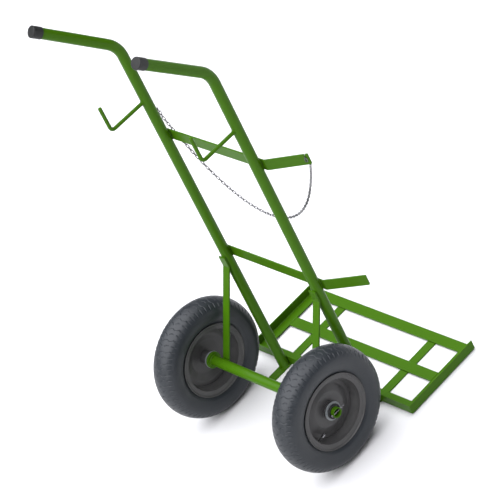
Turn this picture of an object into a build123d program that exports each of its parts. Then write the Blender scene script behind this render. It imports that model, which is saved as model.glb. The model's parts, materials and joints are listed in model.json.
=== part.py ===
from build123d import *
from math import asinh, cosh, sinh
import os

# Two-wheeled trolley for a pair of gas cylinders, in millimetres.
# +X is the operator's right, +Y is forward (the cylinder side), +Z is up.
# The origin is on the floor, at the middle of the cart's width and depth.

os.makedirs("parts", exist_ok=True)

# Stock sizes
pipe_d = 33.7            # 1 inch steel pipe: side tubes and axle
pipe_wall = 3.2
flat_t = 5.0             # thickness of every flat bar
edge_r = 0.6             # rolled corners of the flat bars
wide_flat = 38.0         # cross bars, front and middle tray bars
foot_flat = 32.0         # foot bars under the tray
strut_flat = 28.0
angle_leg = 38.0         # tray angle, horizontal leg
angle_lip = 32.0         # tray angle, upright leg
angle_t = 4.0
hook_d = 12.0            # round bar of the hose hooks

# Wheels
tyre_d = 400.0
tyre_w = 98.0
track = 562.0            # between the two tyres' middle planes
wheel_x = track / 2
axle_z = tyre_d / 2      # the wheels touch the floor beside the tray
axle_behind_tray = 210.5
axle_end_x = wheel_x + 47

# Tray
tray_w = 731.0
tray_d = 304.0
cart_depth = tyre_d / 2 + axle_behind_tray + tray_d
tray_front_y = cart_depth / 2
tray_back_y = tray_front_y - tray_d
axle_y = tray_back_y - axle_behind_tray
tray_z = flat_t          # the tray frame stands on the foot bars
middle_bar_y = tray_back_y + 149.5
foot_overhang = 86.0     # foot bars behind the side tubes' axes

# Side tubes and handles
tube_x = 208.0
tube_y = tray_back_y - pipe_d / 2
bend_z = 1337.0
grip_end = Vector(tube_x + 31, tube_y - 206.5, bend_z + 210)
bend_r = 90.0
cap_len = 32.0
cap_wall = 1.6
cap_end_t = 3.0

# Cross bars with their swept wings
upper_bar_z = 965.5      # bottom edges
lower_bar_z = 486.0
wing_bend_x = 228.0
wing_len = 139.5
wing_angle = 30.0
wing_bend_r = 8.0        # inside radius
slot_from_end = 11.0
slot_w = 3.2
slot_depth = 16.0

# Hose hooks
hook_z = 1132.5
hook_reach = 147.5       # from the tube's axis to the rising leg's axis
hook_rise = 88.5
hook_bend_r = 14.0

# Struts between the axle and the side tubes
strut_top_z = 467.0      # the bend; the pad runs on above it
strut_pad = 38.5
strut_bend_r = 10.0      # middle of the thickness

# Hubs and axle ends
hub_d = 46.0
hub_half = 22.0          # half the hub's length
hub_shoulder_d = 56.0
bush_d = 39.0
bush_len = 16.0
bush_flange = 2.5
bush_flange_d = 52.0
washer_t = 3.5
inner_washer_d = 56.0
outer_washer_d = 60.0
collar_t = 9.0
collar_d = 54.0
sleeve_d = 48.0
pin_d = 6.0
pin_x = axle_end_x - 6.5
pin_head_d = 10.0
pin_head_t = 4.0
pin_head_y = -(pipe_d / 2 + 0.5)
pin_tail_y = 36.0

# Chain
wire_d = 2.5
link_inner_l = 11.5
link_inner_w = 4.2
link_gap = 0.3
link_pitch = link_inner_l - link_gap
swinging_links = 85

# Clearances
pin_gap = 0.3            # between the wheels and what holds them on the axle
bush_gap = 0.05          # axle in bush, on the radius
weld_gap = 0.1           # between pieces that are welded together
foot_gap = 0.02          # between the foot bars and the tray
pin_hole_gap = 0.25
collar_bore = pipe_d + 0.1
washer_bore = pipe_d + 1
sleeve_bore = pipe_d + 0.4

# Rounded edges
cap_r = 2.2
hook_tip_r = 2.0
bar_corner_r = 3.0
angle_corner_r = 3.0
foot_corner_r = 2.0


def save(name, piece):
    piece.part.label = name
    export_step(piece.part, f"parts/{name}.step")


def save_pair(name, right):
    """Write the right-hand piece and its mirror image on the left."""
    save(f"{name}_right", right)
    with BuildPart() as left:
        mirror(right.part, about=Plane.YZ)
    save(f"{name}_left", left)


# ---------------------------------------------------------------- side tubes
bend_point = Vector(tube_x, tube_y, bend_z)
grip_dir = (grip_end - bend_point).normalized()

with BuildPart() as side_tube:
    with BuildLine() as tube_path:
        FilletPolyline((tube_x, tube_y, tray_z), bend_point, grip_end, radius=bend_r)
    with BuildSketch(Plane((tube_x, tube_y, tray_z))):
        Circle(pipe_d / 2)
    sweep(path=tube_path.line)
    with BuildSketch(Plane((tube_x, tube_y, tray_z))):
        Circle(pipe_d / 2 - pipe_wall)
    sweep(path=tube_path.line, mode=Mode.SUBTRACT)
save_pair("side_tube", side_tube)

# Plastic caps pushed over the grips
cap_plane = Plane(origin=grip_end, z_dir=grip_dir)
with BuildPart() as handle_cap:
    with BuildSketch(cap_plane.offset(cap_end_t)):
        Circle(pipe_d / 2 + cap_wall)
    extrude(amount=-cap_len)
    fillet(handle_cap.faces().sort_by(Axis(grip_end, grip_dir))[-1].edges(), cap_r)
    with BuildSketch(cap_plane):
        Circle(pipe_d / 2)
    extrude(amount=-cap_len, mode=Mode.SUBTRACT)
save_pair("handle_cap", handle_cap)

# ---------------------------------------------------------------- hose hooks
hook_start = Vector(tube_x, tube_y - pipe_d / 2 - weld_gap, hook_z)
hook_corner = Vector(tube_x, tube_y - hook_reach, hook_z)
hook_tip = hook_corner + Vector(0, 0, hook_rise)

with BuildPart() as hose_hook:
    with BuildLine() as hook_path:
        FilletPolyline(hook_start, hook_corner, hook_tip, radius=hook_bend_r)
    with BuildSketch(Plane(origin=hook_start, z_dir=(0, -1, 0))):
        Circle(hook_d / 2)
    sweep(path=hook_path.line)
    fillet(hose_hook.faces().sort_by(Axis.Z)[-1].edges(), hook_tip_r)
save_pair("hose_hook", hose_hook)

# ---------------------------------------------------------------- cross bars
wing_dir = Vector(1, 0, 0).rotate(Axis.Z, wing_angle)
wing_normal = Vector(0, 1, 0).rotate(Axis.Z, wing_angle)
bend_mid = Vector(wing_bend_x, tray_back_y + flat_t / 2)
wing_end = bend_mid + wing_dir * wing_len
slot_centre = bend_mid + wing_dir * (wing_len - slot_from_end)


def cross_bar(bottom_z):
    """A flat bar across the side tubes, its ends swept forward round the cylinders."""
    with BuildPart() as bar:
        with BuildSketch(Plane.XY.offset(bottom_z)):
            with BuildLine() as middle:
                FilletPolyline(
                    (-wing_end.X, wing_end.Y),
                    (-bend_mid.X, bend_mid.Y),
                    (bend_mid.X, bend_mid.Y),
                    (wing_end.X, wing_end.Y),
                    radius=wing_bend_r + flat_t / 2,
                )
            trace(middle.line, line_width=flat_t)
        extrude(amount=wide_flat)
        tips = bar.edges().filter_by(wing_line_edge)
        fillet(tips, bar_corner_r)
        fillet(bar.edges().filter_by(long_level_edge), edge_r)
    return bar


def wing_line_edge(edge):
    """The short edges through the thickness at the four wing corners."""
    along = edge.tangent_at(0.5)
    level = abs(along.Z) < 0.01
    return level and abs(edge.length - flat_t) < 0.01 and abs(edge.center().X) > wing_end.X - flat_t


def long_level_edge(edge):
    """The edges that run along the bar, level with the floor."""
    return abs(edge.tangent_at(0.5).Z) < 0.01 and edge.length > flat_t + 1


upper = cross_bar(upper_bar_z)
upper_top_z = upper_bar_z + wide_flat
slot_bottom_z = upper_top_z - slot_depth

# The upper bar has a notch in each wing for a chain link
with BuildPart() as upper_cross_bar:
    add(upper.part)
    for side in (1, -1):
        notch_plane = Plane(
            origin=(side * slot_centre.X, slot_centre.Y, 0),
            x_dir=(side * wing_dir.X, wing_dir.Y, 0),
            z_dir=(side * wing_normal.X, wing_normal.Y, 0),
        )
        up = 1 if notch_plane.y_dir.Z > 0 else -1
        with BuildSketch(notch_plane):
            with Locations((0, up * (slot_bottom_z + slot_depth))):
                Rectangle(slot_w, 2 * slot_depth)
            with Locations((0, up * (slot_bottom_z + slot_w))):
                Circle(slot_w)
        extrude(amount=flat_t, both=True, mode=Mode.SUBTRACT)
save("upper_cross_bar", upper_cross_bar)
save("lower_cross_bar", cross_bar(lower_bar_z))

# ---------------------------------------------------------------- tray
half_w = tray_w / 2

with BuildPart() as rear_angle:
    with BuildSketch(Plane.YZ) as angle_section:
        with BuildLine():
            Polyline(
                (tray_back_y, tray_z),
                (tray_back_y + angle_leg, tray_z),
                (tray_back_y + angle_leg, tray_z + angle_t),
                (tray_back_y + angle_t, tray_z + angle_t),
                (tray_back_y + angle_t, tray_z + angle_lip),
                (tray_back_y, tray_z + angle_lip),
                close=True,
            )
        make_face()
        fillet(angle_section.vertices().group_by(Axis.Y)[1].sort_by(Axis.X)[0], angle_corner_r)
    extrude(amount=half_w - angle_t - weld_gap / 2, both=True)
save("tray_rear_angle", rear_angle)

with BuildPart() as side_angle:
    with BuildSketch(Plane.XZ.offset(-tray_back_y)) as side_section:
        with BuildLine():
            Polyline(
                (half_w, tray_z),
                (half_w - angle_leg, tray_z),
                (half_w - angle_leg, tray_z + angle_t),
                (half_w - angle_t, tray_z + angle_t),
                (half_w - angle_t, tray_z + angle_lip),
                (half_w, tray_z + angle_lip),
                close=True,
            )
        make_face()
        fillet(side_section.vertices().group_by(Axis.Y)[1].sort_by(Axis.X)[-1], angle_corner_r)
    extrude(amount=-tray_d)
    # The floor leg stops short of the rear angle and of the front bar
    with Locations((half_w - angle_leg / 2 - angle_t, tray_back_y, tray_z)):
        Box(angle_leg, 2 * angle_leg + weld_gap, 4 * angle_lip, mode=Mode.SUBTRACT)
    with Locations((half_w - angle_leg / 2 - angle_t, tray_front_y, tray_z)):
        Box(angle_leg, 2 * wide_flat + weld_gap, 4 * angle_lip, mode=Mode.SUBTRACT)
save_pair("tray_side_angle", side_angle)


def tray_bar(length, centre_y):
    """A flat bar across the tray, level with the angles' floor legs."""
    with BuildPart() as bar:
        with BuildSketch(Plane.XY.offset(tray_z)):
            with Locations((0, centre_y)):
                Rectangle(length, wide_flat)
        extrude(amount=flat_t)
        fillet(bar.faces().filter_by(Axis.Z).edges().filter_by(Axis.X), edge_r)
    return bar


save("tray_front_bar", tray_bar(tray_w - 2 * angle_t - weld_gap, tray_front_y - wide_flat / 2))
save("tray_middle_bar", tray_bar(tray_w - 2 * angle_leg - weld_gap, middle_bar_y))

# Foot bars run under the tray and past the side tubes
foot_back_y = tube_y - foot_overhang
with BuildPart() as foot_bar:
    with BuildSketch(Plane.XY):
        with Locations((tube_x, (foot_back_y + tray_front_y) / 2)):
            Rectangle(foot_flat, tray_front_y - foot_back_y)
    extrude(amount=flat_t - foot_gap)
    fillet(foot_bar.edges().filter_by(Axis.Z), foot_corner_r)
save_pair("foot_bar", foot_bar)

# ---------------------------------------------------------------- struts
# A flat bar from the front of the axle tube up to the back of the side tube,
# with a short pad bent to lie along the tube
strut_back_y = tube_y - pipe_d / 2 - weld_gap / 2
strut_top = Vector(strut_back_y - flat_t / 2, strut_top_z)
strut_lean = Vector(strut_top.X - axle_y, strut_top.Y - axle_z)
strut_side = Vector(strut_lean.Y, -strut_lean.X).normalized()
strut_foot = Vector(axle_y, axle_z) + strut_side * (pipe_d / 2 + flat_t / 2 + weld_gap)

with BuildPart() as strut:
    with BuildSketch(Plane.YZ.offset(tube_x - strut_flat / 2)):
        with BuildLine() as strut_line:
            FilletPolyline(
                (strut_foot.X, strut_foot.Y),
                (strut_top.X, strut_top.Y),
                (strut_top.X, strut_top.Y + strut_pad),
                radius=strut_bend_r,
            )
        trace(strut_line.line, line_width=flat_t)
    extrude(amount=strut_flat)
save_pair("strut", strut)

# ---------------------------------------------------------------- axle
axle_axis = Axis((0, axle_y, axle_z), (1, 0, 0))

with BuildPart() as axle_tube:
    with BuildSketch(Plane.YZ):
        with Locations((axle_y, axle_z)):
            Circle(pipe_d / 2)
            Circle(pipe_d / 2 - pipe_wall, mode=Mode.SUBTRACT)
    extrude(amount=axle_end_x, both=True)
    with BuildSketch(Plane.XZ.offset(-axle_y)):
        with Locations((pin_x, axle_z), (-pin_x, axle_z)):
            Circle(pin_d / 2 + pin_hole_gap)
    extrude(amount=pipe_d, both=True, mode=Mode.SUBTRACT)
save("axle_tube", axle_tube)


def ring(inner_x, width, outer_d, inner_d, edge=0.5):
    """A ring on the axle, from inner_x outward."""
    with BuildPart() as body:
        with BuildSketch(Plane.YZ.offset(inner_x)):
            with Locations((axle_y, axle_z)):
                Circle(outer_d / 2)
                Circle(inner_d / 2, mode=Mode.SUBTRACT)
        extrude(amount=width)
        chamfer(body.edges().filter_by(GeomType.CIRCLE).group_by(SortBy.RADIUS)[-1], edge)
    return body


washer_reach = hub_half + bush_flange + pin_gap      # from the tyre's middle to a washer
washer_in_x = wheel_x - washer_reach - washer_t
washer_out_x = wheel_x + washer_reach
sleeve_x = washer_out_x + washer_t
sleeve_len = pin_x - pin_head_d / 2 - pin_gap - sleeve_x

save_pair("axle_collar", ring(washer_in_x - collar_t, collar_t, collar_d, collar_bore, 1))
save_pair("inner_washer", ring(washer_in_x, washer_t, inner_washer_d, washer_bore))
save_pair("outer_washer", ring(washer_out_x, washer_t, outer_washer_d, washer_bore))
save_pair("axle_sleeve", ring(sleeve_x, sleeve_len, sleeve_d, sleeve_bore, 2))

# Hub pins drop through the axle's ends, head to the rear
with BuildPart() as hub_pin:
    with BuildSketch(Plane.YZ.offset(pin_x)):
        with Locations((axle_y + pin_head_y - pin_head_t, axle_z)):
            Rectangle(pin_head_t, pin_head_d / 2, align=(Align.MIN, Align.MIN))
        with Locations((axle_y + pin_head_y, axle_z)):
            Rectangle(pin_tail_y - pin_head_y, pin_d / 2, align=(Align.MIN, Align.MIN))
    revolve(axis=Axis((pin_x, axle_y, axle_z), (0, 1, 0)))
    fillet(hub_pin.edges().filter_by(GeomType.CIRCLE).group_by(Axis.Y)[0], 1.5)
    chamfer(hub_pin.edges().filter_by(GeomType.CIRCLE).group_by(Axis.Y)[-1], 1.2)
save_pair("hub_pin", hub_pin)

# ---------------------------------------------------------------- wheels
# Wheel sections are drawn in the XY plane as (distance outward from the tyre's
# middle, radius) and turned about the axle line.
section_plane = Plane(origin=(wheel_x, axle_y, axle_z), x_dir=(1, 0, 0), z_dir=(0, -1, 0))

with BuildPart() as tyre:
    with BuildSketch(section_plane):
        with BuildLine():
            ThreePointArc((-26, 194.5), (0, tyre_d / 2), (26, 194.5))
            ThreePointArc((26, 194.5), (42.7, 180.7), (tyre_w / 2, 160))
            ThreePointArc((tyre_w / 2, 160), (45.7, 141), (36.5, 124.5))
            Polyline((36.5, 124.5), (31.5, 118), (31.5, 106.2), (23, 106.2), (23, 116))
            ThreePointArc((23, 116), (42, 153), (32, 184))
            ThreePointArc((32, 184), (0, 191), (-32, 184))
            ThreePointArc((-32, 184), (-42, 153), (-23, 116))
            Polyline((-23, 116), (-23, 106.2), (-31.5, 106.2), (-31.5, 118), (-36.5, 124.5))
            ThreePointArc((-36.5, 124.5), (-45.7, 141), (-tyre_w / 2, 160))
            ThreePointArc((-tyre_w / 2, 160), (-42.7, 180.7), (-26, 194.5))
        make_face()
    revolve(axis=axle_axis)
save_pair("tyre", tyre)

tube_wall = 2.0
with BuildPart() as inner_tube:
    with BuildSketch(section_plane) as tube_section:
        with BuildLine():
            ThreePointArc((12.5, 112), (40.1, 154.5), (30.6, 182.6))
            ThreePointArc((30.6, 182.6), (0, 189), (-30.6, 182.6))
            ThreePointArc((-30.6, 182.6), (-40.1, 154.5), (-12.5, 112))
            Polyline((-12.5, 112), (-13.2, 105), (-8, 100.5), (8, 100.5), (13.2, 105), (12.5, 112))
        make_face()
        offset(amount=-tube_wall, mode=Mode.SUBTRACT)
    revolve(axis=axle_axis)
save_pair("inner_tube", inner_tube)

# Valve: a hole in the sloping wall of the rim's well, towards the outside
valve_turn = 215.0       # degrees from forward, seen from the right
slope_point = Vector(15, 100)
slope_normal = Vector(0.363, -0.932).normalized()
valve_out = Vector(0, 1, 0).rotate(Axis.X, valve_turn)
wheel_centre = Vector(wheel_x, axle_y, axle_z)
valve_base = wheel_centre + Vector(slope_point.X, 0, 0) + valve_out * slope_point.Y
valve_dir = Vector(slope_normal.X, 0, 0) + valve_out * slope_normal.Y
valve_plane = Plane(origin=valve_base, z_dir=valve_dir)
valve_d = 9.0

with BuildPart() as rim:
    with BuildSketch(section_plane):
        with BuildLine():
            Polyline((0, 97.5), (5, 97.5), (24, 104.9), (32, 106), (32.7, 113))
            ThreePointArc((32.7, 113), (34.9, 120.2), (39.6, 123))
            Line((39.6, 123), (40.3, 120.8))
            ThreePointArc((40.3, 120.8), (36.9, 118.6), (35.1, 112.7))
            Polyline((35.1, 112.7), (34.2, 103.8), (24.6, 102.5), (5.5, 95.1), (0, 95.1), (0, 97.5))
        make_face()
        mirror(about=Plane.YZ)
    revolve(axis=axle_axis)
    with BuildSketch(valve_plane.offset(-6)):
        Circle(valve_d / 2 + 0.05)
    extrude(amount=14, mode=Mode.SUBTRACT)
save_pair("rim", rim)

disc_t = 3.0
disc_hub_x = 7.0         # the dished middle stands this far out from the edge's face
with BuildPart() as wheel_disc:
    with BuildSketch(section_plane) as disc_section:
        with BuildLine():
            Polyline((-2, 95), (-2, 80), (disc_hub_x, 56), (disc_hub_x, hub_d / 2))
            Line((disc_hub_x, hub_d / 2), (disc_hub_x + disc_t, hub_d / 2))
            Polyline((disc_hub_x + disc_t, hub_d / 2), (disc_hub_x + disc_t, 57), (-2 + disc_t, 81))
            Polyline((-2 + disc_t, 81), (-2 + disc_t, 95), (-2, 95))
        make_face()
        knees = disc_section.vertices().filter_by(lambda corner: 50 < corner.Y < 85)
        fillet(knees, 14)
    revolve(axis=axle_axis)
save_pair("wheel_disc", wheel_disc)

shoulder_x = disc_hub_x + disc_t + weld_gap
shoulder_t = 3.4
with BuildPart() as hub:
    with BuildSketch(section_plane):
        with BuildLine():
            Polyline(
                (-hub_half, bush_d / 2),
                (-hub_half, hub_d / 2),
                (shoulder_x, hub_d / 2),
                (shoulder_x, hub_shoulder_d / 2),
                (shoulder_x + shoulder_t, hub_shoulder_d / 2),
                (shoulder_x + shoulder_t, hub_d / 2),
                (hub_half, hub_d / 2),
                (hub_half, bush_d / 2),
                close=True,
            )
        make_face()
    revolve(axis=axle_axis)
    chamfer(hub.edges().filter_by(GeomType.CIRCLE).group_by(Axis.X)[-1].sort_by(SortBy.RADIUS)[-1], 1)
save_pair("hub", hub)


def hub_bush(end, outward):
    """A flanged plastic bush pressed into one end of the hub."""
    bore_r = pipe_d / 2 + bush_gap
    flange = end + outward * bush_flange
    inside = end - outward * bush_len
    with BuildPart() as bush:
        with BuildSketch(section_plane):
            with BuildLine():
                Polyline(
                    (inside, bore_r),
                    (inside, bush_d / 2),
                    (end, bush_d / 2),
                    (end, bush_flange_d / 2),
                    (flange, bush_flange_d / 2),
                    (flange, bore_r),
                    close=True,
                )
            make_face()
        revolve(axis=axle_axis)
    return bush


save_pair("inner_bush", hub_bush(-hub_half, -1))
save_pair("outer_bush", hub_bush(hub_half, 1))

stem_foot = -2.0         # just through the rim's wall
stem_top = 13.0          # the rubber ends and the thread begins
thread_d = 7.8
thread_len = 14.0
cap_start = stem_top + 3.8
valve_cap_d = 9.8
valve_cap_len = 12.5

with BuildPart() as valve_stem:
    with BuildSketch(valve_plane.offset(stem_foot)):
        Circle(valve_d / 2)
    extrude(amount=stem_top - stem_foot)
    with BuildSketch(valve_plane.offset(stem_top)):
        Circle(thread_d / 2)
    extrude(amount=thread_len)
save_pair("valve_stem", valve_stem)

with BuildPart() as valve_cap:
    with BuildSketch(valve_plane.offset(cap_start)):
        Circle(valve_cap_d / 2)
    extrude(amount=valve_cap_len)
    fillet(valve_cap.edges().sort_by(Axis(valve_base, valve_dir))[-1], 1.2)
    with BuildSketch(valve_plane.offset(cap_start)):
        Circle(thread_d / 2 + 0.05)
    extrude(amount=thread_len - 3.7, mode=Mode.SUBTRACT)
save_pair("valve_cap", valve_cap)

# ---------------------------------------------------------------- chain
# One link, drawn along local X in the local XY plane
bow_r = (link_inner_w + wire_d) / 2
straight = link_inner_l - link_inner_w
with BuildPart() as link:
    with BuildLine() as link_path:
        Line((-straight / 2, -bow_r), (straight / 2, -bow_r))
        ThreePointArc((straight / 2, -bow_r), (straight / 2 + bow_r, 0), (straight / 2, bow_r))
        Line((straight / 2, bow_r), (-straight / 2, bow_r))
        ThreePointArc((-straight / 2, bow_r), (-straight / 2 - bow_r, 0), (-straight / 2, -bow_r))
    with BuildSketch(Plane(origin=(-straight / 2, -bow_r, 0), z_dir=(1, 0, 0))):
        Circle(wire_d / 2)
    sweep(path=link_path.wires()[0])

# Fixed end links on each wing: one through the notch, one hanging behind the
# plate, and three in front that reach down past its lower edge
bow_reach = (link_inner_l + wire_d) / 2
wrap = wire_d + link_gap
notch_gap, hang_gap, plate_gap = 0.1, 0.15, 0.35
notch_link_z = slot_bottom_z + wire_d + link_inner_w / 2 + notch_gap
hang_z = notch_link_z - link_inner_w / 2 + wire_d / 2 + hang_gap
near_plate = flat_t / 2 + wire_d / 2 + plate_gap
clear_of_plate = flat_t / 2 + link_inner_w / 2 + wire_d + plate_gap
lean = clear_of_plate - near_plate
lean_drop = ((2 * bow_reach) ** 2 - lean**2) ** 0.5
lower_bow_z = hang_z - lean_drop
hinge_y = slot_centre.Y + wing_normal.Y * clear_of_plate
hinge_z = lower_bow_z - 2 * link_pitch


def place(centre, along, across):
    """Where a link sits: its centre, its long direction and its wide direction."""
    return Plane(origin=centre, x_dir=along, z_dir=along.cross(across)).location


end_places = []
down = Vector(0, 0, -1)
for side in (1, -1):
    out = Vector(side * wing_dir.X, wing_dir.Y, 0)
    normal = Vector(side * wing_normal.X, wing_normal.Y, 0)
    notch = Vector(side * slot_centre.X, slot_centre.Y, 0)
    end_places.append(place(notch + Vector(0, 0, notch_link_z), normal, down))
    end_places.append(place(notch - normal * near_plate + Vector(0, 0, hang_z - bow_reach), down, out))
    leaning = (normal * lean + down * lean_drop).normalized()
    top_bow = notch + normal * near_plate + Vector(0, 0, hang_z)
    end_places.append(place(top_bow + leaning * bow_reach, leaning, out))
    below = notch + normal * clear_of_plate + Vector(0, 0, lower_bow_z + wrap - bow_reach)
    end_places.append(place(below, down, normal))
    end_places.append(place(below + down * link_pitch, down, Vector(side, 0, 0)))
# The first swinging link leans, so its bow sits a little inboard of the end link's
bow_shift = 0.4
last_link_x = slot_centre.X + wing_normal.X * clear_of_plate - bow_shift

with BuildPart() as chain_end_links:
    with Locations(*end_places):
        add(link.part)
save("chain_end_links", chain_end_links)

# The rest of the chain swings about the two lowest end links' bows. It hangs
# in a catenary, which starts half a wrap above that line.
half_length = swinging_links * link_pitch / 2
low, high = 20.0, 2000.0
for _ in range(60):
    sag_a = (low + high) / 2
    if sag_a * sinh(last_link_x / sag_a) > half_length:
        low = sag_a
    else:
        high = sag_a


def chain_point(length):
    """A point on the catenary, at a length along it from its lowest point."""
    x = sag_a * asinh(length / sag_a)
    drop = sag_a * (cosh(last_link_x / sag_a) - cosh(x / sag_a))
    return Vector(x, hinge_y, hinge_z + wrap / 2 - drop)


swing_places = []
for i in range(swinging_links):
    here = chain_point(i * link_pitch - half_length)
    there = chain_point((i + 1) * link_pitch - half_length)
    along = (there - here).normalized()
    forward = Vector(0, 1, 0)
    across = forward if i % 2 == 0 else forward.cross(along)
    swing_places.append(place((here + there) / 2, along, across))

with BuildPart() as chain:
    with Locations(*swing_places):
        add(link.part)
save("chain", chain)
lowest = chain_point(0).Z
print(f"swinging chain {2 * half_length:.0f} mm, lowest {lowest:.1f}, axis y {hinge_y:.3f} z {hinge_z:.3f}")
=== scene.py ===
import json
from math import cos, pi, radians, sin

import bpy
import numpy as np
from mathutils import Matrix, Vector


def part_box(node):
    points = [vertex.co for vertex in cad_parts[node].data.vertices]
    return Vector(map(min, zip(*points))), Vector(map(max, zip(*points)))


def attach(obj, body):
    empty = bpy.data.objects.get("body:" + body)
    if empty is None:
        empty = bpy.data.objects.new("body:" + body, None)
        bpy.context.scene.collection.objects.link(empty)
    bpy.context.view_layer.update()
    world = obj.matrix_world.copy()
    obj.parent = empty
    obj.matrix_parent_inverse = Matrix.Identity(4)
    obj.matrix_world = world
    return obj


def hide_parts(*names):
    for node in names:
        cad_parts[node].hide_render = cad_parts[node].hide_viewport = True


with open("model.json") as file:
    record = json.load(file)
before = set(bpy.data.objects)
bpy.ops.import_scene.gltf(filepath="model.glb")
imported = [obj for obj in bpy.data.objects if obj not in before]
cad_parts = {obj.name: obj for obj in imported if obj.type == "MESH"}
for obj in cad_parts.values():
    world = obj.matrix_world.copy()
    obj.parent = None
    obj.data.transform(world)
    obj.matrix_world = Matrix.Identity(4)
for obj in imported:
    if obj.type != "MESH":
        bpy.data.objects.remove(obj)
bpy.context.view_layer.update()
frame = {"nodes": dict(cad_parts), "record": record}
nodes = frame["nodes"]
SIDES = ("left", "right")
SIGN = {"left": -1, "right": 1}


# ------------------------------------------------------------ camera and stage
AIM = Vector((0.0, 0.0058, 0.6166))
AZIMUTH, ELEVATION, ROLL = radians(61.93), radians(35.59), radians(27.18)
DISTANCE = 7.279
LENS, SENSOR_W = 174.2, 36   # millimetres
SKY_AXIS = Vector((-0.10, -0.25, 1.0)).normalized()
# The sky's colour by the cosine of the angle to SKY_AXIS
SKY_STOPS = (
    (0.0, (0.03, 0.03, 0.034, 1)),
    (0.56, (0.08, 0.08, 0.087, 1)),
    (0.76, (4.5, 4.5, 4.7, 1)),
    (1.0, (4.9, 4.9, 5.1, 1)),
)
SKY_STRENGTH = 0.88
FLOOR_HALF = 30
FLOOR_GREY = 0.64


def make_camera():
    data = bpy.data.cameras.new("camera")
    data.lens = LENS
    data.sensor_width = SENSOR_W
    camera = bpy.data.objects.new("camera", data)
    back = Vector((sin(AZIMUTH) * cos(ELEVATION), -cos(AZIMUTH) * cos(ELEVATION), sin(ELEVATION)))
    level = (-back).to_track_quat("-Z", "Y").to_matrix().to_4x4()
    camera.matrix_world = Matrix.Translation(AIM + back * DISTANCE) @ level @ Matrix.Rotation(-ROLL, 4, "Z")
    bpy.context.scene.collection.objects.link(camera)
    bpy.context.scene.camera = camera


def area_light(name, place, size, power, aim=AIM):
    data = bpy.data.lights.new(name, "AREA")
    data.shape = "RECTANGLE"
    data.size, data.size_y = size
    data.energy = power
    light = bpy.data.objects.new(name, data)
    light.location = place
    light.rotation_euler = (Vector(aim) - Vector(place)).to_track_quat("-Z", "Y").to_euler()
    bpy.context.scene.collection.objects.link(light)


def make_stage():
    corners = [(x * FLOOR_HALF, y * FLOOR_HALF, 0) for x, y in ((-1, -1), (1, -1), (1, 1), (-1, 1))]
    mesh = bpy.data.meshes.new("floor")
    mesh.from_pydata(corners, [], [(0, 1, 2, 3)])
    floor = bpy.data.objects.new("floor", mesh)
    bpy.context.scene.collection.objects.link(floor)
    paint = bpy.data.materials.new("floor_white")
    paint.use_nodes = True
    shader = paint.node_tree.nodes["Principled BSDF"]
    shader.inputs["Base Color"].default_value = (FLOOR_GREY, FLOOR_GREY, FLOOR_GREY, 1)
    shader.inputs["Roughness"].default_value = 0.8
    shader.inputs["Specular IOR Level"].default_value = 0.1
    mesh.materials.append(paint)
    make_sky()
    area_light("key", (-0.6, -5.2, 2.4), (2.0, 2.0), 50)
    area_light("low", (1.5, -5.2, 0.8), (1.0, 1.0), 34)


def make_sky():
    """A soft bright patch overhead, leaning to the cart's rear, with dimmer light round it."""
    world = bpy.data.worlds.new("studio")
    bpy.context.scene.world = world
    world.use_nodes = True
    tree = world.node_tree
    background = tree.nodes["Background"]
    background.inputs["Strength"].default_value = SKY_STRENGTH
    coordinate = tree.nodes.new("ShaderNodeTexCoord")
    tilt = tree.nodes.new("ShaderNodeVectorMath")
    tilt.operation = "DOT_PRODUCT"
    tilt.inputs[1].default_value = SKY_AXIS
    tree.links.new(coordinate.outputs["Generated"], tilt.inputs[0])
    node = tree.nodes.new("ShaderNodeValToRGB")
    first, last = node.color_ramp.elements
    first.position, first.color = SKY_STOPS[0]
    last.position, last.color = SKY_STOPS[-1]
    for position, color in SKY_STOPS[1:-1]:
        node.color_ramp.elements.new(position).color = color
    tree.links.new(tilt.outputs["Value"], node.inputs["Fac"])
    tree.links.new(node.outputs["Color"], background.inputs["Color"])
    # The camera sees plain white past the floor's edge, from low down
    backdrop = tree.nodes.new("ShaderNodeBackground")
    backdrop.inputs["Color"].default_value = (1, 1, 1, 1)
    path = tree.nodes.new("ShaderNodeLightPath")
    mix = tree.nodes.new("ShaderNodeMixShader")
    tree.links.new(path.outputs["Is Camera Ray"], mix.inputs["Fac"])
    tree.links.new(background.outputs["Background"], mix.inputs[1])
    tree.links.new(backdrop.outputs["Background"], mix.inputs[2])
    tree.links.new(mix.outputs["Shader"], tree.nodes["World Output"].inputs["Surface"])


make_camera()
make_stage()
bpy.context.scene.view_settings.view_transform = "Standard"


# ------------------------------------------------------------------ materials
NOISE_LOW, NOISE_HIGH = 0.3, 0.7   # nearly all noise values lie between these


def new_material(name, roughness=0.5, metallic=0.0, specular=0.5):
    material = bpy.data.materials.new(name)
    material.use_nodes = True
    tree = material.node_tree
    shader = tree.nodes["Principled BSDF"]
    shader.inputs["Roughness"].default_value = roughness
    shader.inputs["Metallic"].default_value = metallic
    shader.inputs["Specular IOR Level"].default_value = specular
    return material, tree, shader


def noise(tree, scale, detail, roughness=0.55):
    """Noise in object space, so it holds still on each piece."""
    coordinate = tree.nodes.new("ShaderNodeTexCoord")
    texture = tree.nodes.new("ShaderNodeTexNoise")
    texture.inputs["Scale"].default_value = scale
    texture.inputs["Detail"].default_value = detail
    texture.inputs["Roughness"].default_value = roughness
    tree.links.new(coordinate.outputs["Object"], texture.inputs["Vector"])
    return texture.outputs["Fac"]


def mottle(tree, value, dark, light):
    """A colour between two, by a noise value."""
    node = tree.nodes.new("ShaderNodeValToRGB")
    for element, position, color in zip(node.color_ramp.elements, (NOISE_LOW, NOISE_HIGH), (dark, light)):
        element.position = position
        element.color = (*color, 1)
    tree.links.new(value, node.inputs["Fac"])
    return node.outputs["Color"]


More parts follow.
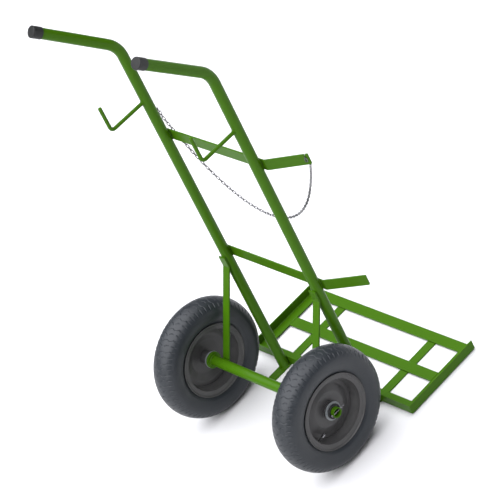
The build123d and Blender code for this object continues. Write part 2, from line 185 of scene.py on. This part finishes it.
def rescale(tree, value, low, high, start=NOISE_LOW, end=NOISE_HIGH):
    """A value from low to high as the noise goes from start to end."""
    node = tree.nodes.new("ShaderNodeMapRange")
    node.inputs["From Min"].default_value = start
    node.inputs["From Max"].default_value = end
    node.inputs["To Min"].default_value = low
    node.inputs["To Max"].default_value = high
    tree.links.new(value, node.inputs["Value"])
    return node.outputs["Result"]


def blend(tree, factor, color, over):
    """Lays a plain colour over a colour socket, by a factor."""
    node = tree.nodes.new("ShaderNodeMix")
    node.data_type = "RGBA"
    below, above = [s for s in node.inputs if s.type == "RGBA"]
    tree.links.new(factor, node.inputs["Factor"])
    tree.links.new(color, below)
    above.default_value = (*over, 1)
    return [s for s in node.outputs if s.type == "RGBA"][0]


def bump(tree, shader, height, strength, distance, onto=None):
    node = tree.nodes.new("ShaderNodeBump")
    node.inputs["Strength"].default_value = strength
    node.inputs["Distance"].default_value = distance
    tree.links.new(height, node.inputs["Height"])
    if onto:
        tree.links.new(onto, node.inputs["Normal"])
    tree.links.new(node.outputs["Normal"], shader.inputs["Normal"])
    return node.outputs["Normal"]


def green_paint():
    material, tree, shader = new_material("green_paint", specular=0.07)
    color = mottle(tree, noise(tree, 5, 2), (0.0380, 0.110, 0.0022), (0.0396, 0.114, 0.0024))
    dust = rescale(tree, noise(tree, 90, 5, 0.7), 0.0, 0.05, 0.5, 0.75)
    color = blend(tree, dust, color, (0.044, 0.126, 0.004))
    tree.links.new(color, shader.inputs["Base Color"])
    tree.links.new(rescale(tree, noise(tree, 16, 4), 0.31, 0.37), shader.inputs["Roughness"])
    peel = bump(tree, shader, noise(tree, 420, 2), 0.06, 0.0003)
    bump(tree, shader, noise(tree, 60, 2), 0.02, 0.0005, peel)
    shader.inputs["Coat Weight"].default_value = 0.06
    shader.inputs["Coat Roughness"].default_value = 0.08
    return material


def tyre_rubber():
    material, tree, shader = new_material("tyre_rubber", specular=0.34)
    color = mottle(tree, noise(tree, 9, 4), (0.0175, 0.0205, 0.0245), (0.0210, 0.0245, 0.0285))
    dust = rescale(tree, noise(tree, 60, 6, 0.7), 0.0, 0.25, 0.5, 0.8)
    color = blend(tree, dust, color, (0.027, 0.032, 0.038))
    tree.links.new(color, shader.inputs["Base Color"])
    tree.links.new(rescale(tree, noise(tree, 30, 4), 0.36, 0.46), shader.inputs["Roughness"])
    fine = bump(tree, shader, noise(tree, 900, 2), 0.18, 0.0003)
    bump(tree, shader, noise(tree, 120, 3), 0.08, 0.0008, fine)
    return material


def rim_paint():
    material, tree, shader = new_material("rim_paint", specular=0.22)
    color = mottle(tree, noise(tree, 12, 3), (0.054, 0.0535, 0.053), (0.059, 0.058, 0.058))
    tree.links.new(color, shader.inputs["Base Color"])
    tree.links.new(rescale(tree, noise(tree, 25, 4), 0.38, 0.42), shader.inputs["Roughness"])
    bump(tree, shader, noise(tree, 350, 2), 0.02, 0.0001)
    shader.inputs["Coat Weight"].default_value = 0.12
    shader.inputs["Coat Roughness"].default_value = 0.1
    return material


def zinc_steel():
    material, tree, shader = new_material("zinc_steel", metallic=1.0)
    color = mottle(tree, noise(tree, 90, 4), (0.07, 0.07, 0.073), (0.26, 0.26, 0.27))
    tree.links.new(color, shader.inputs["Base Color"])
    tree.links.new(rescale(tree, noise(tree, 200, 3), 0.10, 0.18), shader.inputs["Roughness"])
    bump(tree, shader, noise(tree, 700, 2), 0.1, 0.0002)
    return material


def black_plastic():
    material, tree, shader = new_material("black_plastic", specular=0.2)
    color = mottle(tree, noise(tree, 30, 3), (0.016, 0.0165, 0.0165), (0.025, 0.0255, 0.0255))
    tree.links.new(color, shader.inputs["Base Color"])
    tree.links.new(rescale(tree, noise(tree, 60, 3), 0.32, 0.48), shader.inputs["Roughness"])
    bump(tree, shader, noise(tree, 1400, 2), 0.2, 0.0002)
    return material


def soft_rubber():
    material, tree, shader = new_material("soft_rubber", roughness=0.6)
    color = mottle(tree, noise(tree, 40, 3), (0.016, 0.016, 0.016), (0.028, 0.028, 0.028))
    tree.links.new(color, shader.inputs["Base Color"])
    bump(tree, shader, noise(tree, 800, 2), 0.15, 0.0002)
    return material


def bush_plastic():
    material, tree, shader = new_material("bush_plastic", roughness=0.45)
    color = mottle(tree, noise(tree, 50, 3), (0.15, 0.165, 0.17), (0.18, 0.195, 0.20))
    tree.links.new(color, shader.inputs["Base Color"])
    bump(tree, shader, noise(tree, 600, 2), 0.1, 0.0002)
    return material


MATERIALS = {
    "green_paint": green_paint(),
    "tyre_rubber": tyre_rubber(),
    "rim_paint": rim_paint(),
    "zinc_steel": zinc_steel(),
    "black_plastic": black_plastic(),
    "soft_rubber": soft_rubber(),
    "bush_plastic": bush_plastic(),
}
NODE_SLOT = {s["node"]: s["material_slot"] for s in frame["record"]["subparts"]}
for name, node in nodes.items():
    node.data.materials.clear()
    node.data.materials.append(MATERIALS[NODE_SLOT[name]])


# ---------------------------------------------------------------------- tyres
PITCHES = 32             # tread pattern repeats round the tyre
STEPS = 40               # mesh steps in each pitch
TREAD_W = 0.084          # shoulder to shoulder
SIPE = 0.0008            # half the width of a cut
SIPE_SOFT = 0.35         # how far its edge is rounded off each way, over SIPE
SIPE_DEPTH = 0.0014
NOTCH_DEPTH = 0.0024     # scallops over the shoulders
NOTCH_MID = 0.0385       # their distance from the tyre's middle plane
NOTCH_REACH = 0.008      # how far they run each way from there, fading over the last NOTCH_FADE
NOTCH_FADE = 0.005
NOTCH_LONG = 0.30        # their length round the tyre, over their spacing
NOTCH_SLOPE = 0.18       # as much of that as slopes
NOTCH_FLOOR_R = 0.170    # nothing below this radius is cut
RIB_R, RIB_H, RIB_W = 0.134, 0.0008, 0.0025   # the guard rib on each side, near the rim
BEAD_R = 0.1062          # radius where the tyre sits on the rim
# Cuts in one pitch, as (start, end) in (half tread widths from the middle, pitches)
SIPES = (
    ((-0.10, 0.30), (0.06, 0.14)),
    ((0.06, 0.14), (0.26, 0.08)),
    ((0.26, 0.08), (0.46, 0.16)),
    ((0.46, 0.16), (0.64, 0.10)),
    ((0.64, 0.10), (0.80, -0.04)),
    ((0.24, 0.66), (0.40, 0.50)),
    ((0.40, 0.50), (0.56, 0.52)),
)


def wheel_frame(side):
    low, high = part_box("tyre_" + side)
    return (low + high) / 2, (high.z - low.z) / 2


def dist_to_line(x, y, a, b):
    """Distance from points to the segment a-b."""
    ab = np.array(b) - np.array(a)
    t = np.clip(((x - a[0]) * ab[0] + (y - a[1]) * ab[1]) / (ab @ ab), 0, 1)
    return np.hypot(x - a[0] - t * ab[0], y - a[1] - t * ab[1])


def tread_depth(across, along, pitch_length):
    """How deep the tread is cut, from 0 to 1: across in half tread widths, along in pitches."""
    depth = np.zeros_like(across)
    scale = np.array([TREAD_W / 2, pitch_length])
    for mirrored in (1, -1):
        x = across * mirrored * scale[0]
        turn = along + (0.0 if mirrored > 0 else 0.5)
        for start, end in SIPES:
            for shift in (-1, 0, 1):
                y = (turn % 1.0 + shift) * scale[1]
                near = dist_to_line(x, y, start * scale, end * scale)
                cut = ((1 + SIPE_SOFT) * SIPE - near) / (2 * SIPE_SOFT * SIPE)
                depth = np.maximum(depth, np.clip(cut, 0, 1))
    return depth


def shoulder_notch(along):
    """Scallops where the tread runs out over the shoulder, two to a pitch, 0 to 1."""
    wave = np.abs(2 * along % 1.0 - 0.5) * 2
    return np.clip((NOTCH_LONG - wave) / NOTCH_SLOPE, 0, 1)


def arc(start, middle, end, count):
    """Points on the circle through three points, from start to end."""
    (ax, ay), (bx, by), (cx, cy) = start, middle, end
    d = 2 * (ax * (by - cy) + bx * (cy - ay) + cx * (ay - by))
    a2, b2, c2 = ax * ax + ay * ay, bx * bx + by * by, cx * cx + cy * cy
    x = (a2 * (by - cy) + b2 * (cy - ay) + c2 * (ay - by)) / d
    y = (a2 * (cx - bx) + b2 * (ax - cx) + c2 * (bx - ax)) / d
    first = np.arctan2(ay - y, ax - x)
    sweep = (np.arctan2(cy - y, cx - x) - first + pi) % (2 * pi) - pi
    turns = first + sweep * np.linspace(0, 1, count)
    r = np.hypot(ax - x, ay - y)
    return list(zip(x + r * np.cos(turns), y + r * np.sin(turns)))


def tyre_profile(radius):
    """The tyre's section as (offset, radius), from the crown round the beads and back."""
    half_w, edge, waist = 0.049, (0.026, radius - 0.0055), radius - 0.040
    crown = arc(edge, (0, radius), (-edge[0], edge[1]), 61)
    shoulder = arc(edge, (0.0427, radius - 0.0193), (half_w, waist), 36)[1:]
    wall = arc((half_w, waist), (0.0457, radius - 0.059), (0.0365, radius - 0.0755), 14)[1:]
    wall = [(a + RIB_H * np.exp(-(((r - RIB_R) / RIB_W) ** 2)), r) for a, r in wall]
    bead = [(0.0315, 0.118), (0.0315, BEAD_R + 0.0002), (0.0309, BEAD_R)]
    bead += [(0.0236, BEAD_R), (0.023, BEAD_R + 0.0004), (0.023, 0.116)]
    lining = [(0.0325, 0.1265), (0.0395, 0.1375), (0.042, 0.153)]
    lining += [(0.0398, 0.1685), (0.032, 0.184), (0.017, 0.1892)]
    flank = wall + bead + lining
    tread = shoulder[::-1] + crown + [(-a, r) for a, r in shoulder]
    return tread, tread + [(-a, r) for a, r in flank] + [(0.0, 0.191)] + flank[::-1]


def build_tyre(side):
    centre, outer_r = wheel_frame(side)
    tread, profile = tyre_profile(outer_r)
    turns, n, cut_n = PITCHES * STEPS, len(profile), len(tread)
    offset, radius = [np.tile([p[k] for p in profile], (turns, 1)) for k in (0, 1)]
    angle = np.arange(turns) * 2 * pi / turns
    along = np.arange(turns) / STEPS
    across = np.tile(np.array([a for a, _ in tread]) * 2 / TREAD_W, (turns, 1))
    cuts = tread_depth(across, np.tile(along[:, None], (1, cut_n)), 2 * pi * outer_r / PITCHES)
    radius[:, :cut_n] -= SIPE_DEPTH * cuts
    # Scallops over both shoulders, staggered from side to side
    for sign, shift in ((1, 0.0), (-1, 0.25)):
        beside = np.clip((NOTCH_REACH - np.abs(sign * offset - NOTCH_MID)) / NOTCH_FADE, 0, 1)
        beside *= radius > NOTCH_FLOOR_R
        radius -= NOTCH_DEPTH * beside * shoulder_notch(along + shift)[:, None]
    x = centre.x + SIGN[side] * offset
    y = centre.y + radius * np.cos(angle)[:, None]
    z = centre.z + radius * np.sin(angle)[:, None]
    verts = np.stack([x, y, z], 2).reshape(-1, 3)
    i, j = np.meshgrid(np.arange(turns), np.arange(n), indexing="ij")
    i2, j2 = (i + 1) % turns, (j + 1) % n
    quads = np.stack([i * n + j, i2 * n + j, i2 * n + j2, i * n + j2], 2).reshape(-1, 4)
    if SIGN[side] > 0:
        quads = quads[:, ::-1]
    return new_piece("tyre_tread_" + side, verts, quads, "tyre_rubber", "wheel_" + side, ["tyre_" + side])


def new_piece(name, verts, faces, material, body, replaced=(), smooth_angle=40):
    mesh = bpy.data.meshes.new(name)
    mesh.from_pydata([tuple(v) for v in verts], [], [tuple(int(k) for k in f) for f in faces])
    mesh.update()
    piece = bpy.data.objects.new(name, mesh)
    bpy.context.scene.collection.objects.link(piece)
    mesh.materials.append(MATERIALS[material])
    mesh.shade_smooth()
    mesh.set_sharp_from_angle(angle=radians(smooth_angle))
    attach(piece, body)
    if replaced:
        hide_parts(*replaced)
    return piece


def build_rim_edges(side):
    """The rolled lips of both edges of the rim."""
    centre, _ = wheel_frame(side)
    low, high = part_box("rim_" + side)
    roll_r, inset = 0.0014, 0.0010
    lip_r = (high.z - low.z) / 2 - inset
    rings, sides = 240, 12
    verts, faces = [], []
    for face_x in (low.x + roll_r, high.x - roll_r):
        first = len(verts)
        middle = Vector((face_x, centre.y, centre.z))
        for i in range(rings):
            turn = 2 * pi * i / rings
            out = Vector((0, cos(turn), sin(turn)))
            for k in range(sides):
                roll = 2 * pi * k / sides
                verts.append(middle + out * (lip_r + roll_r * cos(roll)) + Vector((roll_r * sin(roll), 0, 0)))
        for i in range(rings):
            a, b = first + i * sides, first + (i + 1) % rings * sides
            for k in range(sides):
                k2 = (k + 1) % sides
                faces.append((a + k, b + k, b + k2, a + k2))
    return new_piece("rim_edges_" + side, verts, faces, "rim_paint", "wheel_" + side)


for side in SIDES:
    build_tyre(side)
    build_rim_edges(side)


# ---------------------------------------------------------------- weld beads
RIPPLE = 0.0028          # spacing of a bead's ripples
BEAD_STEP = RIPPLE / 7
BEAD_SIDES = 10
BEAD_FLAT = 0.8          # height of a bead's section over its half width
RIPPLE_H = 0.13          # a ripple's height, over the bead's radius
WANDER = ((0.06, 410, 0), (0.04, 973, 1))   # slower changes in size: share, radians per metre, phase
END_SIZE, END_TAPER = 0.35, 1.2   # an open bead's size at its ends, and the taper's length in radii
WELD_R = {
    "bar": 0.0026,
    "tube_foot": 0.0024,
    "collar": 0.0022,
    "hook": 0.0018,
    "tray": 0.0017,
    "corner": 0.0015,
}
END_GAP = 0.001          # a bead stops this far short of an edge
PROUD = 0.0008           # how far a bead's middle stands out from a round surface
NEAR = 0.0004            # how far it lies from a bar's face or a tube's foot
SEAM = 0.42              # how far from a tube's axis a flat bar is welded, over the tube's radius


class Bead:
    """Gathers rippled weld beads, each a closed tube, for one mesh."""

    def __init__(self):
        self.verts, self.faces = [], []

    def add(self, point_at, length, radius, normal_at, closed=False):
        """A bead along point_at(t), t from 0 to 1; normal_at(t) points away from the joint."""
        sides = BEAD_SIDES
        count = max(int(length / BEAD_STEP), 8)
        steps = np.arange(count) / (count if closed else count - 1)
        first = len(self.verts)
        for t in steps:
            s = t * length
            here = Vector(point_at(t))
            ahead = (Vector(point_at(t + 0.001)) - Vector(point_at(t - 0.001))).normalized()
            out = Vector(normal_at(t)).normalized()
            across = ahead.cross(out).normalized()
            ripple = RIPPLE_H * abs(sin(pi * s / RIPPLE))
            size = radius * (1 + ripple + sum(share * sin(s * rate + phase) for share, rate, phase in WANDER))
            end = 1 if closed else min(1, END_SIZE + min(t, 1 - t) * length / (END_TAPER * radius))
            for k in range(sides):
                turn = 2 * pi * k / sides
                self.verts.append(here + (across * cos(turn) + out * sin(turn) * BEAD_FLAT) * size * end)
        for i in range(count if closed else count - 1):
            a, b = first + i * sides, first + (i + 1) % count * sides
            for k in range(sides):
                k2 = (k + 1) % sides
                self.faces.append((a + k, a + k2, b + k2, b + k))
        if not closed:
            last = first + (count - 1) * sides
            self.faces.append(tuple(first + k for k in range(sides))[::-1])
            self.faces.append(tuple(last + k for k in range(sides)))

    def line(self, start, end, radius, normal):
        start, end = Vector(start), Vector(end)
        self.add(lambda t: start.lerp(end, t), (end - start).length, radius, lambda t: normal)

    def ring(self, centre, axis, ring_r, radius):
        """A bead right round a bar whose axis runs along axis."""
        axis = Vector(axis)
        one = axis.orthogonal().normalized()
        two = axis.cross(one)

        def spoke(t):
            return one * cos(2 * pi * t) + two * sin(2 * pi * t)

        self.add(lambda t: Vector(centre) + spoke(t) * ring_r, 2 * pi * ring_r, radius, spoke, closed=True)

    def saddle(self, centre, ring_r, tube_r, tube_y, radius):
        """A bead round a bar that runs forward into the back of an upright tube."""
        centre = Vector(centre)

        def point(t):
            dx = ring_r * cos(2 * pi * t)
            y = tube_y - (tube_r**2 - dx**2) ** 0.5 - PROUD
            return (centre.x + dx, y, centre.z + ring_r * sin(2 * pi * t))

        def spoke(t):
            return (cos(2 * pi * t), -0.6, sin(2 * pi * t))

        self.add(point, 2 * pi * ring_r, radius, spoke, closed=True)


def tube_place(side):
    """Radius of a side tube, and the x and y of its upright axis."""
    tube_low, tube_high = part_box("side_tube_" + side)
    axle_low, axle_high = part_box("axle_tube")
    tube_r = (axle_high.z - axle_low.z) / 2
    inner_x = tube_low.x if SIGN[side] > 0 else tube_high.x
    return tube_r, inner_x + SIGN[side] * tube_r, tube_high.y - tube_r


def weld_flats(bead, side):
    """Along both sides of the tube where the cross bars and the strut's upper pad meet it."""
    tube_r, tube_x, tube_y = tube_place(side)
    seam = tube_r * SEAM
    for bar in ("upper_cross_bar", "lower_cross_bar"):
        low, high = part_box(bar)
        y = low.y - NEAR
        for way in (1, -1):
            x = tube_x + way * seam
            bead.line((x, y, low.z + END_GAP), (x, y, high.z - END_GAP), WELD_R["bar"], (way, -1, 0))
    low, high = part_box("strut_" + side)
    pad_h = 0.034
    y = tube_y - tube_r + PROUD
    for way in (1, -1):
        x = tube_x + way * seam
        bead.line((x, y, high.z - pad_h), (x, y, high.z - END_GAP), WELD_R["bar"], (way, 1, 0))


def weld_rounds(bead, side):
    """Round the hook's root, the tube's foot and the inner side of the axle collar."""
    tube_r, tube_x, tube_y = tube_place(side)
    low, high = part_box("hose_hook_" + side)
    hook_r = (high.x - low.x) / 2
    bead.saddle((tube_x, 0, low.z + hook_r), hook_r + 0.0006, tube_r, tube_y, WELD_R["hook"])
    foot_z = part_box("side_tube_" + side)[0].z + 0.0012
    bead.ring((tube_x, tube_y, foot_z), (0, 0, 1), tube_r + NEAR, WELD_R["tube_foot"])
    low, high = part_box("axle_collar_" + side)
    centre = (low + high) / 2
    face_x = (low.x if SIGN[side] > 0 else high.x) - SIGN[side] * 0.0006
    bead.ring((face_x, centre.y, centre.z), (1, 0, 0), tube_r + PROUD, WELD_R["collar"])


def weld_tray(bead, side):
    """At the ends of the tray's bars, and at the corner of its rear and side angles."""
    outer = 1 if SIGN[side] > 0 else 0   # which corner of a box is the outer one on this side
    for bar in ("tray_front_bar", "tray_middle_bar"):
        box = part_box(bar)
        low, high = box
        x, z = box[outer].x, high.z - NEAR
        bead.line((x, low.y + END_GAP, z), (x, high.y - END_GAP, z), WELD_R["tray"], (0, 0, 1))
    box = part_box("tray_rear_angle")
    low, high = box
    x = box[outer].x
    leg_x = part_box("tray_side_angle_" + side)[1 - outer].x
    z = low.z + 0.0038
    bead.line((leg_x, high.y, z), (x, high.y, z), WELD_R["corner"], (0, 0, 1))
    y = low.y + 0.0005
    bead.line((x, y, low.z + END_GAP), (x, y, high.z - END_GAP), WELD_R["corner"], (0, -1, 0))


def build_welds(side):
    bead = Bead()
    weld_flats(bead, side)
    weld_rounds(bead, side)
    weld_tray(bead, side)
    return new_piece("weld_beads_" + side, bead.verts, bead.faces, "green_paint", "frame", smooth_angle=60)


for side in SIDES:
    build_welds(side)
